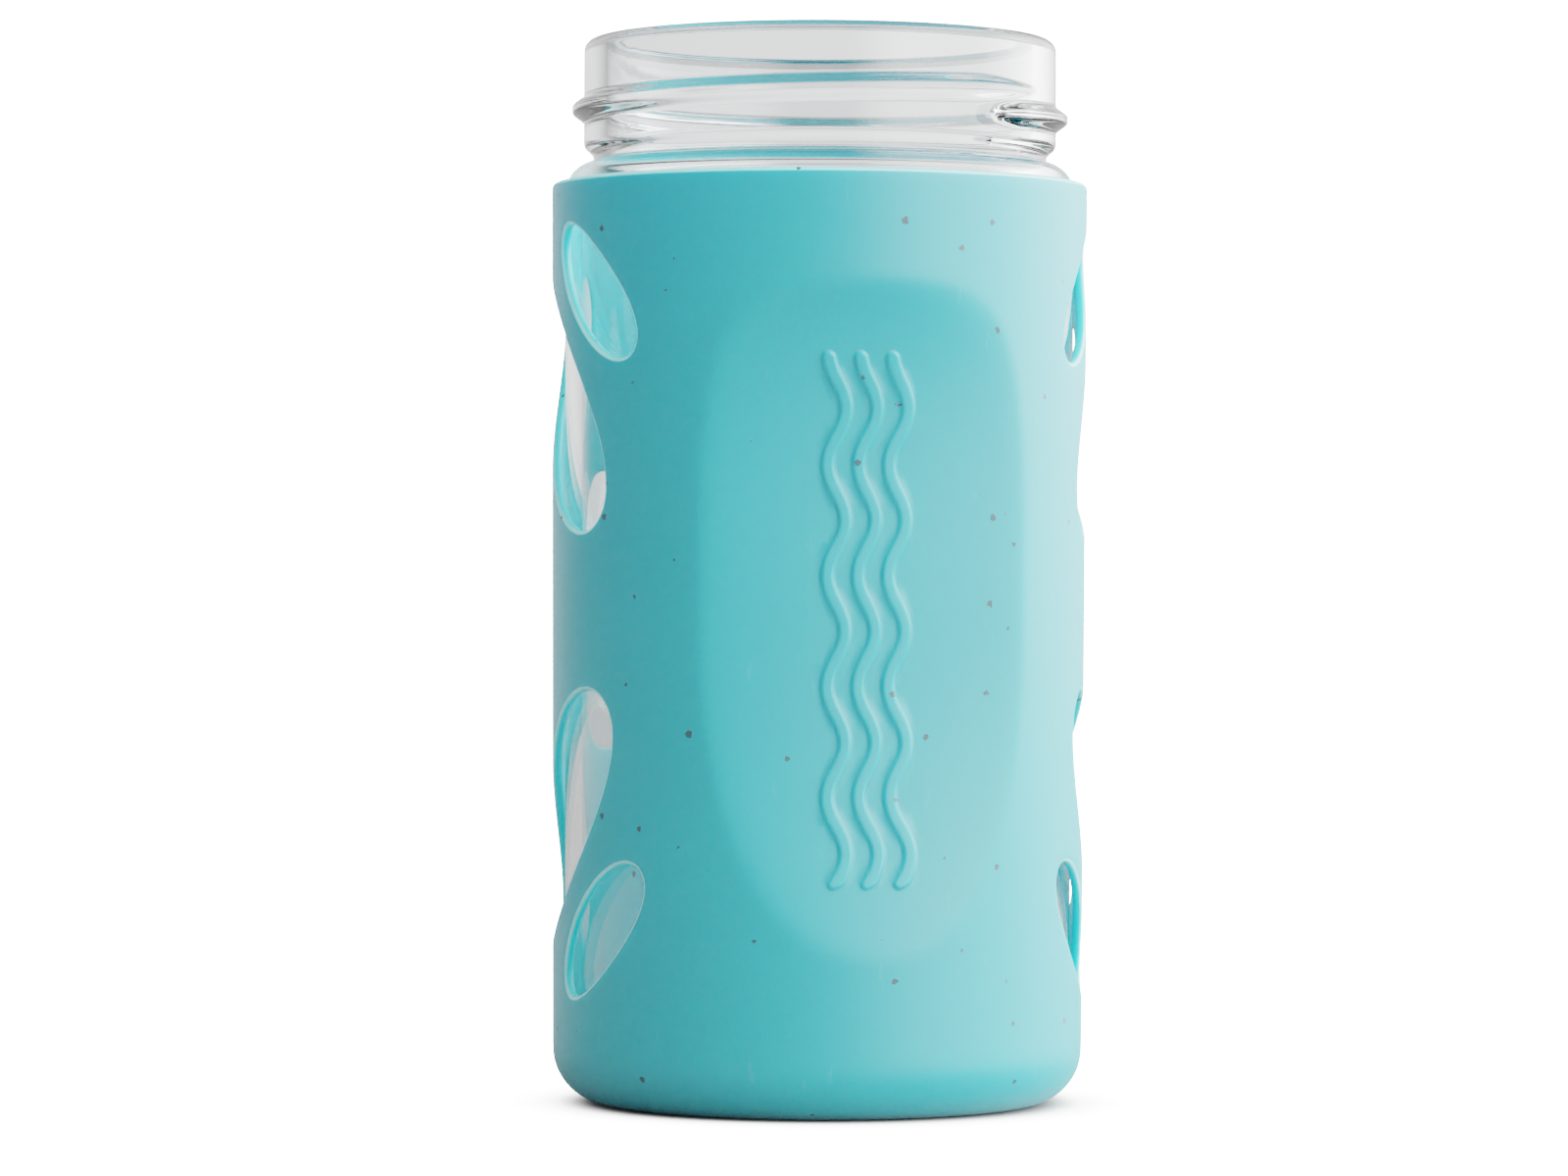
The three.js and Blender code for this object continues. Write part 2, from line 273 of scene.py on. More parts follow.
@dataclass(frozen=True)
class MouldedSilicone:
    """Silicone rubber, moulded in a blasted tool that leaves it matt.

    A deep teal with a broad, milky gloss. Its thin edges glow: partly by subsurface scattering and partly
    by painted light, a brighter inner skin and cut walls and a pale painted highlight round each window.
    It holds specks of dust and lint, and handling leaves faint scuffs.
    """

    name: str = "silicone_rubber_blasted_mould"
    body: str = "0eb1bd"
    deeper: str = "0aa9b6"
    # painted highlight: the pale line round each window's rounded edge and along the top edge
    rim: str = "a6ecf0"
    lit: str = "12d4e2"  # painted light: the inner skin and cut walls are painted this brighter teal, for light that soaks through the wall
    speck: str = "12545e"
    scuff: str = "5fc0c6"
    roughness: float = 0.5
    gloss: float = 1.0
    skin_oil: float = 0.4  # the thin film that silicone sweats out
    bloom: float = 0.12
    bloom_spread: float = 0.5
    glow: float = 0.8
    glow_depth: float = 4.0
    glow_share: tuple[float, float, float] = (0.15, 0.8, 0.9)
    grain_size: float = 0.35  # the tool's grit is finer, and this is as coarse as it shows
    grain_depth: float = 0.012
    grain_share: float = 0.6
    cloud_size: float = 26.0
    speck_spacing: float = 4.2
    speck_radius: float = 0.5
    speck_raggedness: float = 1.4
    scuff_length: float = 6.0
    scuff_turn: tuple[float, float, float] = (0.5, 0.3, 0.0)
    scuff_squeeze: tuple[float, float, float] = (3.0, 3.0, 0.6)
    scuff_range: tuple[float, float] = (0.66, 0.8)
    scuff_share: float = 0.35
    highlight_line_range: tuple[float, float] = (0.02, 0.08)
    highlight_line_share: float = 0.95
    cut_range: tuple[float, float] = (0.3, 0.6)

    def build(self) -> bpy.types.Material:
        """Makes the material.

        Returns:
            The material.
        """
        material = bpy.data.materials.new(self.name)
        material.use_nodes = True
        tree = material.node_tree
        tree.nodes.clear()
        place = add_node(tree, "ShaderNodeTexCoord").outputs["Object"]
        clouds = add_node(tree, "ShaderNodeTexNoise", {
            "Vector": place, "Scale": 1 / (self.cloud_size * MM), "Detail": 3.0})
        colour = add_node(tree, "ShaderNodeMix", {
            "Factor": clouds.outputs["Fac"], "A": linear(self.body), "B": linear(self.deeper)},
            data_type="RGBA")
        colour = self._with_lit_edges(tree, colour)
        colour = self._with_scuffs(tree, place, colour)
        colour = self._with_specks(tree, place, colour)
        grain = add_node(tree, "ShaderNodeTexNoise", {
            "Vector": place, "Scale": 1 / (self.grain_size * MM), "Detail": 2.0})
        bump = add_node(tree, "ShaderNodeBump", {
            "Height": grain.outputs["Fac"], "Strength": self.grain_share,
            "Distance": self.grain_depth * MM})
        shader = add_node(tree, "ShaderNodeBsdfPrincipled", {
            "Base Color": colour, "Roughness": self.roughness, "IOR": 1.41,
            "Specular IOR Level": self.gloss, "Sheen Weight": self.bloom,
            "Sheen Roughness": self.bloom_spread, "Coat Weight": self.skin_oil,
            "Coat Roughness": self.roughness, "Subsurface Weight": self.glow,
            "Subsurface Scale": self.glow_depth * MM, "Subsurface Radius": self.glow_share,
            "Normal": bump.outputs["Normal"]})
        add_node(tree, "ShaderNodeOutputMaterial", {"Surface": shader.outputs["BSDF"]})
        return material

    def _with_lit_edges(self, tree: bpy.types.NodeTree, colour: bpy.types.Node) -> bpy.types.Node:
        """Paints the inner skin and the cut walls brighter, as painted light for light that soaks through
        the wall, and paints a pale highlight line round each window and along the top edge.

        Args:
            tree: The material's tree.
            colour: The node that gives the outer skin's colour.

        Returns:
            The node that gives the colour of both skins.
        """
        skin = add_node(tree, "ShaderNodeAttribute", attribute_name="skin").outputs["Fac"]
        rim = add_node(tree, "ShaderNodeAttribute", attribute_name="rim").outputs["Fac"]
        # painted light: the inner skin and the cut walls get the brighter teal
        inside = add_node(tree, RANGE, {
            "Value": skin, "From Min": Skin.OUTER.value, "From Max": Skin.INNER.value})
        turned = add_node(tree, RANGE, {
            "Value": rim, "From Min": self.cut_range[0], "From Max": self.cut_range[1]})
        lit = add_node(tree, MATH, {
            0: inside.outputs["Result"], 1: turned.outputs["Result"]}, operation="MAXIMUM")
        colour = add_node(tree, "ShaderNodeMix", {
            "Factor": lit.outputs["Value"], "A": colour.outputs["Result"],
            "B": linear(self.lit)}, data_type="RGBA")
        # painted highlight: a pale line where each rounded edge begins
        begun = add_node(tree, RANGE, {
            "Value": rim, "From Min": self.highlight_line_range[0], "From Max": self.highlight_line_range[1],
            "To Max": self.highlight_line_share})
        plain = add_node(tree, MATH, {0: 1.0, 1: lit.outputs["Value"]},
                         operation="SUBTRACT")
        line = add_node(tree, MATH, {
            0: begun.outputs["Result"], 1: plain.outputs["Value"]}, operation="MULTIPLY")
        return add_node(tree, "ShaderNodeMix", {
            "Factor": line.outputs["Value"], "A": colour.outputs["Result"],
            "B": linear(self.rim)}, data_type="RGBA")

    def _with_scuffs(self, tree: bpy.types.NodeTree, place: bpy.types.NodeSocket,
                     colour: bpy.types.Node) -> bpy.types.Node:
        """Draws faint paler scuffs over a colour, longer than they are wide.

        Args:
            tree: The material's tree.
            place: The socket that holds the place on the piece.
            colour: The node that gives the colour so far.

        Returns:
            The node that gives the colour with scuffs.
        """
        stretched = add_node(tree, "ShaderNodeMapping", {
            "Vector": place, "Rotation": self.scuff_turn, "Scale": self.scuff_squeeze})
        lines = add_node(tree, "ShaderNodeTexNoise", {
            "Vector": stretched.outputs["Vector"], "Scale": 1 / (self.scuff_length * MM),
            "Detail": 5.0, "Roughness": 0.6})
        share = add_node(tree, RANGE, {
            "Value": lines.outputs["Fac"], "From Min": self.scuff_range[0],
            "From Max": self.scuff_range[1], "To Max": self.scuff_share})
        return add_node(tree, "ShaderNodeMix", {
            "Factor": share.outputs["Result"], "A": colour.outputs["Result"],
            "B": linear(self.scuff)}, data_type="RGBA")

    def _with_specks(self, tree: bpy.types.NodeTree, place: bpy.types.NodeSocket,
                     colour: bpy.types.Node) -> bpy.types.NodeSocket:
        """Scatters dark specks of dust over a colour, each with a size of its own.

        Args:
            tree: The material's tree.
            place: The socket that holds the place on the piece.
            colour: The node that gives the colour so far.

        Returns:
            The socket that holds the colour with specks.
        """
        ragged = add_node(tree, "ShaderNodeTexNoise", {
            "Vector": place, "Scale": 1 / (self.speck_radius * MM), "Detail": 2.0})
        moved = add_node(tree, "ShaderNodeVectorMath", {
            0: ragged.outputs["Color"], 1: [self.speck_radius * MM * self.speck_raggedness] * 3, 2: place},
            operation="MULTIPLY_ADD")
        cells = add_node(tree, "ShaderNodeTexVoronoi", {
            "Vector": moved.outputs["Vector"], "Scale": 1 / (self.speck_spacing * MM)})
        size = add_node(tree, "ShaderNodeSeparateColor", {"Color": cells.outputs["Color"]})
        edge = add_node(tree, MATH, {
            0: size.outputs["Red"], 1: self.speck_radius / self.speck_spacing}, operation="MULTIPLY")
        near = add_node(tree, MATH, {
            0: cells.outputs["Distance"], 1: edge.outputs["Value"]}, operation="LESS_THAN")
        return add_node(tree, "ShaderNodeMix", {
            "Factor": near.outputs["Value"], "A": colour.outputs["Result"],
            "B": linear(self.speck)}, data_type="RGBA").outputs["Result"]


# ---- the grip flat that both pieces share -------------------------------------------


@dataclass(frozen=True)
class GripFlat:
    """An egg-shaped flat that sets the glass and the sleeve back at the front."""

    wall_radius: float = 33.85
    centre_height: float = 61.4
    half_height: float = 42.0
    half_angle: float = math.radians(37.5)
    depth: float = 4.8
    crease: float = 0.5
    top_fullness: float = 4.0
    low_fullness: float = 2.2

    def set_back(self, angle: np.ndarray, height: np.ndarray) -> np.ndarray:
        """How far the flat sets a wall back.

        Args:
            angle: Angles from the front, in radians.
            height: Heights above the foot.

        Returns:
            The depth at each point: 0 outside the flat.
        """
        share = (height - self.centre_height) / self.half_height
        fullness = np.where(share > 0, self.top_fullness, self.low_fullness)
        swell = np.clip(1 - np.abs(share) ** fullness, 1e-5, 1)
        edge = self.half_angle * swell ** (1 / fullness)
        middle = self.wall_radius - self.depth * swell
        half_chord = self.wall_radius * np.sin(edge)
        rise = middle - self.wall_radius * np.cos(edge)
        flat_radius = (half_chord ** 2 + rise ** 2) / (2 * rise)
        centre = middle - flat_radius
        inside = np.maximum(flat_radius ** 2 - (centre * np.sin(angle)) ** 2, 0)
        depth = np.maximum(self.wall_radius - centre * np.cos(angle) - np.sqrt(inside), 0)
        seen = (np.abs(share) < 1) & (np.abs(angle) < math.pi / 2)
        return np.where(seen, depth ** 2 / (depth + self.crease), 0.0)

    def pressed(self, points: np.ndarray, from_radius: float) -> np.ndarray:
        """Sets every point outside a radius back by the flat.

        Args:
            points: Rows of x, y and z.
            from_radius: Points nearer to the axis stay.

        Returns:
            The moved points.
        """
        radius = np.hypot(points[:, 0], points[:, 1])
        angle = np.arctan2(points[:, 0], -points[:, 1])
        kept = 1 - self.set_back(angle, points[:, 2]) / np.maximum(radius, 1e-6)
        moved = points.copy()
        outside = radius > from_radius
        moved[outside, :2] *= kept[outside, None]
        return moved


# ---- geometry nodes -----------------------------------------------------------------


@dataclass
class NodeTool:
    """A Geometry Nodes tree that reshapes one piece, used once and then baked into it."""

    name: str
    inputs: dict[str, float]
    tree: bpy.types.NodeTree = field(init=False)
    ports: dict[str, bpy.types.NodeSocket] = field(init=False)

    def __post_init__(self) -> None:
        """Makes the empty tree with its named inputs."""
        self.tree = bpy.data.node_groups.new(self.name, "GeometryNodeTree")
        self.tree.interface.new_socket("Geometry", in_out="INPUT", socket_type="NodeSocketGeometry")
        for label, value in self.inputs.items():
            made = self.tree.interface.new_socket(label, in_out="INPUT", socket_type="NodeSocketFloat")
            made.default_value = value
        self.tree.interface.new_socket("Material", in_out="INPUT", socket_type="NodeSocketMaterial")
        self.tree.interface.new_socket("Geometry", in_out="OUTPUT", socket_type="NodeSocketGeometry")
        self.ports = {s.name: s for s in add_node(self.tree, "NodeGroupInput").outputs if s.name}

    def add(self, kind: str, *inputs: object, **settings: object) -> bpy.types.NodeSocket:
        """Adds a node of any kind, with its inputs in order, and gives its first output."""
        return add_node(self.tree, kind, dict(enumerate(inputs)), **settings).outputs[0]

    def cylinder(self) -> tuple[bpy.types.NodeSocket, ...]:
        """The angle from the front, radius, height and outward direction of each point.

        Returns:
            Four sockets, in that order.
        """
        place = add_node(self.tree, "GeometryNodeInputPosition").outputs["Position"]
        part = add_node(self.tree, "ShaderNodeSeparateXYZ", {"Vector": place}).outputs
        level = add_node(self.tree, "ShaderNodeCombineXYZ", {"X": part["X"], "Y": part["Y"]}).outputs[0]
        radius = add_node(self.tree, "ShaderNodeVectorMath", {0: level}, operation="LENGTH")
        outward = add_node(self.tree, "ShaderNodeVectorMath", {0: level}, operation="NORMALIZE")
        angle = self.add(MATH, part["X"], self.add(MATH, part["Y"], -1.0, operation="MULTIPLY"),
                         operation="ARCTAN2")
        return angle, radius.outputs["Value"], part["Z"], outward.outputs["Vector"]

    def lift(self, outward: bpy.types.NodeSocket, amount: bpy.types.NodeSocket) -> None:
        """Ends the tree: raises the surface by an amount and gives it its material.

        Args:
            outward: The direction to move in.
            amount: How far to move.
        """
        offset = add_node(self.tree, "ShaderNodeVectorMath", {0: outward, "Scale": amount},
                          operation="SCALE")
        raised = add_node(self.tree, "GeometryNodeSetPosition", {
            "Geometry": self.ports["Geometry"], "Offset": offset.outputs["Vector"]})
        real = add_node(self.tree, "GeometryNodeRealizeInstances", {
            "Geometry": raised.outputs["Geometry"]})
        dressed = add_node(self.tree, "GeometryNodeSetMaterial", {
            "Geometry": real.outputs["Geometry"], "Material": self.ports["Material"]})
        add_node(self.tree, "NodeGroupOutput", {"Geometry": dressed.outputs["Geometry"]})

    def bake(self, piece: bpy.types.Object, material: bpy.types.Material) -> None:
        """Runs the tree on a piece and keeps the result as its plain mesh.

        Args:
            piece: The object to reshape.
            material: The finish that the tree sets.
        """
        modifier = piece.modifiers.new(self.name, "NODES")
        modifier.node_group = self.tree
        for item in self.tree.interface.items_tree:
            if item.in_out == "INPUT" and item.name in self.inputs:
                modifier[item.identifier] = self.inputs[item.name]
            if item.in_out == "INPUT" and item.name == "Material":
                modifier[item.identifier] = material
        bpy.context.view_layer.update()
        shaped = piece.evaluated_get(bpy.context.evaluated_depsgraph_get())
        baked = bpy.data.meshes.new_from_object(shaped)
        piece.modifiers.clear()
        piece.data = baked
        piece.data.name = piece.name
        piece.data.materials.clear()
        piece.data.materials.append(material)
        piece.data.shade_smooth()


# ---- glass bottle -------------------------------------------------------------------


@dataclass
class ScrewThread:
    """One rounded ridge of a little over one turn, with a blunt start and a long run-out."""

    start_angle: float = math.radians(36.5)
    sweep: float = math.radians(377)
    start_height: float = 124.4
    rise: float = 3.4
    ease: float = 0.8
    depth: float = 1.5
    half_width: float = 1.55
    neck_radius: float = 30.1
    run_out: float = 14.0
    lead_in: float = 6.0
    seam_angle: float = math.radians(-62)
    seam_depth: float = 0.12
    seam_half_width: float = 0.35
    seam_below: float = 1.5
    outside_share: float = 0.99

    def tool(self) -> NodeTool:
        """The Geometry Nodes tree that raises the ridge and the mould seams on the neck.

        Returns:
            The finished tree.
        """
        lengths = {"Start Height": self.start_height, "Rise": self.rise, "Depth": self.depth,
                   "Half Width": self.half_width, "Neck Radius": self.neck_radius,
                   "Run-out": self.run_out, "Lead-in": self.lead_in, "Seam Depth": self.seam_depth,
                   "Seam Half Width": self.seam_half_width, "Seam Below": self.seam_below}
        made = NodeTool("screw_thread", {
            "Start Angle": self.start_angle, "Sweep": self.sweep, "Ease": self.ease,
            "Seam Angle": self.seam_angle, **{k: v * MM for k, v in lengths.items()}})
        port, add = made.ports, made.add
        angle, radius, height, outward = made.cylinder()
        first = add(MATH, add(MATH, angle, port["Start Angle"], operation="SUBTRACT"), math.pi,
                    -math.pi, operation="WRAP")
        turns = [self._turn(made, add(MATH, first, 2 * math.pi * turn, operation="ADD"), height)
                 for turn in (0, 1)]
        ridge = add(MATH, *turns, operation="MAXIMUM")
        to_seam = add(MATH, add(MATH, angle, port["Seam Angle"], operation="SUBTRACT"), math.pi / 2,
                      -math.pi / 2, operation="WRAP")
        off_seam = add(MATH, add(MATH, to_seam, port["Neck Radius"], operation="MULTIPLY"),
                       operation="ABSOLUTE")
        seam = add(MATH,
                   add(RANGE, off_seam, 0.0, port["Seam Half Width"], 1.0, 0.0,
                       interpolation_type="SMOOTHSTEP"),
                   port["Seam Depth"], operation="MULTIPLY")
        above = add(MATH, height, add(MATH, port["Start Height"], port["Seam Below"], operation="SUBTRACT"),
                    operation="GREATER_THAN")
        seam = add(MATH, seam, above, operation="MULTIPLY")
        outside = add(MATH, radius,
                      add(MATH, port["Neck Radius"], self.outside_share, operation="MULTIPLY"),
                      operation="GREATER_THAN")
        on_neck = add(MATH, height,
                      add(MATH, port["Start Height"], port["Half Width"], operation="SUBTRACT"),
                      operation="GREATER_THAN")
        both = add(MATH, add(MATH, ridge, seam, operation="ADD"),
                   add(MATH, outside, on_neck, operation="MULTIPLY"), operation="MULTIPLY")
        made.lift(outward, both)
        return made

    def _turn(self, made: NodeTool, along: bpy.types.NodeSocket,
              height: bpy.types.NodeSocket) -> bpy.types.NodeSocket:
        """How far one turn of the ridge stands out at each point.

        Args:
            made: The tree being built.
            along: The angle from the thread's start.
            height: The height of each point.

        Returns:
            The socket that holds the ridge's height.
        """
        port, add = made.ports, made.add
        held = add(MATH, add(MATH, along, 0.0, operation="MAXIMUM"), port["Sweep"],
                   operation="MINIMUM")
        share = add(MATH, held, port["Sweep"], operation="DIVIDE")
        swing = add(MATH, add(MATH, share, 2 * math.pi, operation="MULTIPLY"), operation="SINE")
        eased = add(MATH, swing, add(MATH, port["Ease"], 2 * math.pi, operation="DIVIDE"), share,
                    operation="MULTIPLY_ADD")
        centre = add(MATH, eased, port["Rise"], port["Start Height"], operation="MULTIPLY_ADD")
        past_end = add(MATH, add(MATH, along, held, operation="SUBTRACT"), port["Neck Radius"],
                       operation="MULTIPLY")
        off_line = add(MATH, height, centre, operation="SUBTRACT")
        away = add(MATH,
                   add(MATH, past_end, past_end, add(MATH, off_line, off_line, operation="MULTIPLY"),
                       operation="MULTIPLY_ADD"),
                   operation="SQRT")
        to_go = add(MATH, add(MATH, port["Sweep"], held, operation="SUBTRACT"), port["Neck Radius"],
                    operation="MULTIPLY")
        begun = add(MATH, along, port["Neck Radius"],
                    add(MATH, port["Half Width"], 1.2, operation="MULTIPLY"),
                    operation="MULTIPLY_ADD")
        rising = add(MATH,
                     add(MATH, 1.0,
                         add(RANGE, begun, 0.0, port["Lead-in"], 1.0, 0.0,
                             interpolation_type="SMOOTHSTEP"),
                         operation="SUBTRACT"),
                     operation="SQRT")
        falling = add(MATH, 1.0,
                      add(RANGE, to_go, 0.0, port["Run-out"], 1.0, 0.0,
                          interpolation_type="SMOOTHSTEP"),
                      operation="SUBTRACT")
        full = add(MATH, rising, falling, operation="MULTIPLY")
        width = add(MATH, port["Half Width"], add(MATH, full, 0.6, 0.4, operation="MULTIPLY_ADD"),
                    operation="MULTIPLY")
        section = add(RANGE, add(MATH, away, width, operation="DIVIDE"), 0.2, 1.2, 1.0, 0.0,
                      interpolation_type="SMOOTHSTEP")
        return add(MATH, add(MATH, section, full, operation="MULTIPLY"), port["Depth"],
                   operation="MULTIPLY")


@dataclass
class GlassBottle:
    """The bottle: one wall of glass with a thick base, a shoulder and a threaded neck."""

    node: str = "glass_bottle"
    slot: str = "clear_glass"
    sides: int = 288
    wall_step: float = 1.5
    thread_step: float = 0.13
    heel_radius: float = 5.2
    low_radius: float = 32.1
    top_radius: float = 32.4
    push_up_depth: float = 1.6
    push_up_radius: float = 23.0
    shoulder_radius: float = 3.8
    shoulder_height: float = 115.7
    groove_radius: float = 28.9
    groove_top: float = 120.8
    rim_outer_round: float = 1.6
    rim_inner_round: float = 0.4
    bore_radius: float = 27.2
    bore_low: float = 120.2
    body_bore_top: float = 112.5
    body_bore_radius: float = 30.3
    body_bore_low_radius: float = 30.0
    inner_heel_radius: float = 6.0
    floor_height: float = 6.8
    floor_crown: float = 0.8
    dented_from: float = 25.0
    flat: GripFlat = field(default_factory=GripFlat)
    thread: ScrewThread = field(default_factory=ScrewThread)

    def __post_init__(self) -> None:
        """Takes the base and the rim from the frame."""
        low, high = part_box(self.node)
        self.base = low.z / MM
        self.rim = high.z / MM

    def outer_outline(self) -> np.ndarray:
        """Radius and height from under the base, up the outside, to the top of the rim.

        Returns:
            The outline, as rows.
        """
        neck = self.thread.neck_radius
        centre = self.top_radius - self.shoulder_radius
        into_groove = math.degrees(math.acos((self.groove_radius - centre) / self.shoulder_radius))
        heel_top = (self.low_radius, self.base + self.heel_radius)
        lead = arc((neck - 1.1, self.groove_top + 1.1), 1.1, -90, 0, 6)
        thread_top = (neck, self.thread.start_height + self.thread.rise + 2.4)
        rim_low = (neck, self.rim - self.rim_outer_round)
        return np.vstack((
            run((0, self.base + self.push_up_depth), (8, self.base + self.push_up_depth), 2),
            arc((8, self.base + self.push_up_depth - 60), 60, 90, 78, 8),
            arc((self.push_up_radius, self.base + 1.2), 1.2, -120, -90, 2),
            arc((self.low_radius - self.heel_radius, self.base + self.heel_radius),
                self.heel_radius, -90, 0, 14),
            run(heel_top, (self.top_radius, self.shoulder_height), self.wall_step),
            arc((centre, self.shoulder_height), self.shoulder_radius, 0, into_groove, 12),
            run((self.groove_radius, self.shoulder_height + 3.6),
                (self.groove_radius, self.groove_top), 0.5),
            lead[2:],
            run((neck, self.groove_top + 1.1), thread_top, self.thread_step),
            run(thread_top, rim_low, 0.8),
            arc((neck - self.rim_outer_round, rim_low[1]), self.rim_outer_round, 0, 90, 12),
        ))

    def inner_outline(self) -> np.ndarray:
        """Radius and height from the top of the rim, down the inside, to the floor.

        Returns:
            The outline, as rows.
        """
        lip = (self.bore_radius + self.rim_inner_round, self.rim - self.rim_inner_round)
        shares = np.linspace(0, 1, 17)[:, None]
        opening = (self.bore_radius * (1 - smoothstep(shares, 0, 1))
                   + self.body_bore_radius * smoothstep(shares, 0, 1))
        heights = self.bore_low + (self.body_bore_top - self.bore_low) * shares
        heel_top = (self.body_bore_low_radius, self.floor_height + self.inner_heel_radius)
        floor_edge = self.body_bore_low_radius - self.inner_heel_radius
        crown = np.linspace(floor_edge, 2, 10)[1:, None]
        return np.vstack((
            arc(lip, self.rim_inner_round, 90, 180, 5),
            run((self.bore_radius, lip[1]), (self.bore_radius, self.bore_low), 1.2),
            np.hstack((opening, heights)),
            run((self.body_bore_radius, self.body_bore_top), heel_top, self.wall_step),
            arc((floor_edge, heel_top[1]), self.inner_heel_radius, 0, -90, 12),
            np.hstack((crown, self.floor_height
                       + self.floor_crown * (1 - (crown / floor_edge) ** 2))),
        ))

    def build(self, material: bpy.types.Material) -> bpy.types.Object:
        """Makes the bottle, raises its thread and puts it on its body.

        Args:
            material: The glass.

        Returns:
            The finished piece.
        """
        outline = np.vstack((self.outer_outline(), self.inner_outline()))
        outline = outline[outline[:, 0] > 0.01]
        angles = np.arange(self.sides) * 2 * math.pi / self.sides
        points = lathe_rings(outline, angles)
        poles = [[0, 0, self.base + self.push_up_depth], [0, 0, self.floor_height + self.floor_crown]]
        points = self.flat.pressed(np.vstack((points, poles)), self.dented_from)
        rings = list(np.arange(len(outline) * self.sides).reshape(-1, self.sides))
        under, inside = len(points) - 2, len(points) - 1
        faces = cap_faces(rings[0], under, ends=False) + ring_faces(rings)
        faces += cap_faces(rings[-1], inside, ends=True)
        piece = make_piece("bottle_glass", points, faces)
        self.thread.tool().bake(piece, material)
        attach(piece, Body.BOTTLE.value)
        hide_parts(self.node)
        return piece


# ---- silicone sleeve ----------------------------------------------------------------


@dataclass(frozen=True)
class Window:
    """An opening in the sleeve, measured along its wall from the front and up from the foot."""

    along: float
    height: float
    half_length: float
    half_width: float
    slant: float
    fullness: float
    points: int = 120

    def outline(self) -> np.ndarray:
        """The edge as a closed loop of points, anticlockwise.

        Returns:
            Rows of distance along the wall and height.
        """
        turns = (np.arange(self.points) + 0.5) * 2 * math.pi / self.points
        power = 2 / self.fullness
        x = self.half_length * np.sign(np.cos(turns)) * np.abs(np.cos(turns)) ** power
        y = self.half_width * np.sign(np.sin(turns)) * np.abs(np.sin(turns)) ** power
        loop = self._even(np.column_stack((x, y)))
        tilt = math.radians(self.slant)
        turned = loop @ np.array([[math.cos(tilt), math.sin(tilt)], [-math.sin(tilt), math.cos(tilt)]])
        return turned + (self.along, self.height)

    def _even(self, loop: np.ndarray) -> np.ndarray:
        """The same loop with its points spaced evenly along it.

        Args:
            loop: The loop's points.

        Returns:
            As many points, evenly spaced.
        """
        closed = np.vstack((loop, loop[:1]))
        walked = np.concatenate(([0], np.cumsum(np.linalg.norm(np.diff(closed, axis=0), axis=1))))
        wanted = np.linspace(0, walked[-1], self.points, endpoint=False)
        return np.column_stack([np.interp(wanted, walked, closed[:, i]) for i in (0, 1)])

    def grown(self, distance: float) -> np.ndarray:
        """The edge moved outwards by a distance.

        Args:
            distance: How far to move it.

        Returns:
            The moved edge.
        """
        loop = self.outline()
        ahead = np.roll(loop, -1, axis=0) - np.roll(loop, 1, axis=0)
        ahead /= np.linalg.norm(ahead, axis=1)[:, None]
        return loop + distance * np.column_stack((ahead[:, 1], -ahead[:, 0]))

    def distance(self, places: np.ndarray) -> np.ndarray:
        """How far places are from the window's edge, and negative inside it.

        Args:
            places: Rows of distance along the wall and height.

        Returns:
            One distance for each place.
        """
        loop = self.outline()
        nearest = np.full(len(places), 1e9)
        inside = np.zeros(len(places), bool)
        for start, stop in zip(loop, np.roll(loop, -1, axis=0)):
            step = stop - start
            share = np.clip((places - start) @ step / (step @ step), 0, 1)
            gap = np.linalg.norm(places - start - share[:, None] * step, axis=1)
            nearest = np.minimum(nearest, gap)
            spans = (start[1] > places[:, 1]) != (stop[1] > places[:, 1])
            crossing = start[0] + (places[:, 1] - start[1]) * step[0] / (step[1] or 1e-12)
            inside ^= spans & (places[:, 0] < crossing)
        return np.where(inside, -nearest, nearest)


